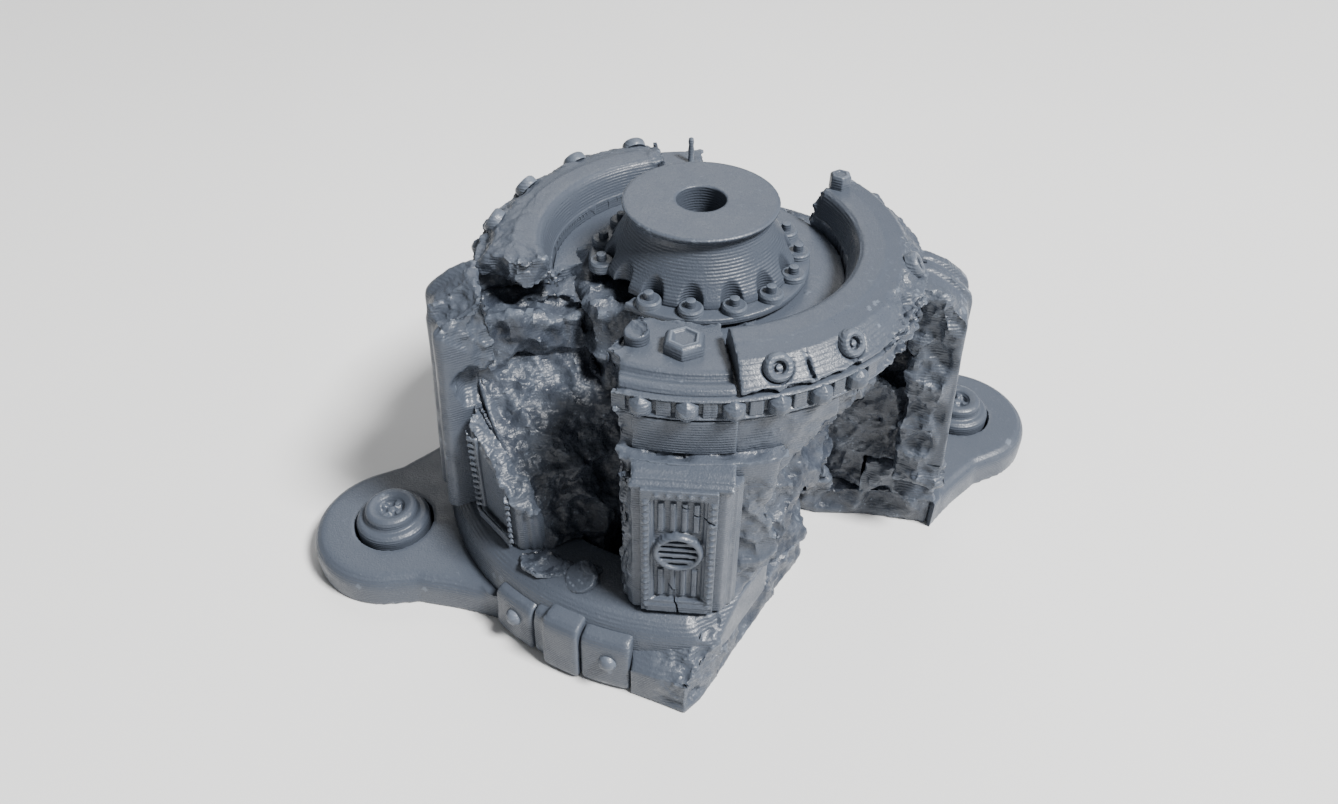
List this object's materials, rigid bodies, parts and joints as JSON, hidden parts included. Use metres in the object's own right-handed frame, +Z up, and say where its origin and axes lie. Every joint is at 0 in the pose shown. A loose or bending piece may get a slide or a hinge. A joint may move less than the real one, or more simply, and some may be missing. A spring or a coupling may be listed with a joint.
{
  "type": "ruined gun turret pedestal scenery model",
  "caption": "Broken round gun-turret pedestal for tabletop scenery: lugged foot, panelled wall, bolted ring and fluted hub with a bore.",
  "frame": {"origin": "tower axis where it meets the surface the model stands on", "axes": "+Z up the tower axis, -Y towards the broken front, +X towards the right-hand lug"},
  "size_m": [0.0878, 0.0767, 0.041],
  "materials": {
    "printed_plastic": "satin blue-grey print with fine layer lines",
    "rubble_plastic": "the same plastic, sculpted as rough broken masonry"
  },
  "bodies": {
    "root": {"base_plate": "printed_plastic", "belt_stud_1": "printed_plastic", "belt_stud_2": "printed_plastic", "belt_stud_3": "printed_plastic", "belt_stud_4": "printed_plastic", "belt_stud_5": "printed_plastic", "broken_shelf_stud": "printed_plastic", "curb_bolt": "printed_plastic", "curb_ring": "printed_plastic", "front_bracket_left_plate": "printed_plastic", "front_bracket_right_plate": "printed_plastic", "front_bracket_strap": "printed_plastic", "front_lug_stub": "printed_plastic", "front_medallion": "printed_plastic", "front_pilaster": "printed_plastic", "front_plaque": "printed_plastic", "front_wall": "rubble_plastic", "hub_bolt_01": "printed_plastic", "hub_bolt_02": "printed_plastic", "hub_bolt_03": "printed_plastic", "hub_bolt_04": "printed_plastic", "hub_bolt_05": "printed_plastic", "hub_bolt_06": "printed_plastic", "hub_bolt_07": "printed_plastic", "hub_bolt_08": "printed_plastic", "hub_bolt_09": "printed_plastic", "hub_bolt_10": "printed_plastic", "hub_bolt_11": "printed_plastic", "hub_bolt_12": "printed_plastic", "hub_bolt_13": "printed_plastic", "hub_bolt_14": "printed_plastic", "hub_cone": "printed_plastic", "hub_flange": "printed_plastic", "left_buttress": "printed_plastic", "left_lug": "printed_plastic", "left_lug_stud": "printed_plastic", "left_rubble": "rubble_plastic", "left_wall": "rubble_plastic", "rear_bracket_152_clamp": "printed_plastic", "rear_bracket_62_clamp": "printed_plastic", "rear_buttress": "printed_plastic", "rear_lug": "printed_plastic", "rear_lug_stud": "printed_plastic", "rebar_spike": "rubble_plastic", "right_buttress": "printed_plastic", "right_lug": "printed_plastic", "right_lug_stud": "printed_plastic", "right_rubble": "rubble_plastic", "right_wall": "rubble_plastic", "rim_end_bolt": "printed_plastic", "rim_segment_left": "printed_plastic", "rim_segment_right": "printed_plastic", "ring_floor": "printed_plastic", "ring_shelf": "printed_plastic", "rubble_core": "rubble_plastic", "shelf_bolt": "printed_plastic", "stud_belt_left": "printed_plastic", "stud_belt_right": "printed_plastic", "stump_pilaster": "printed_plastic", "stump_plaque": "printed_plastic"}
  },
  "joints": []
}
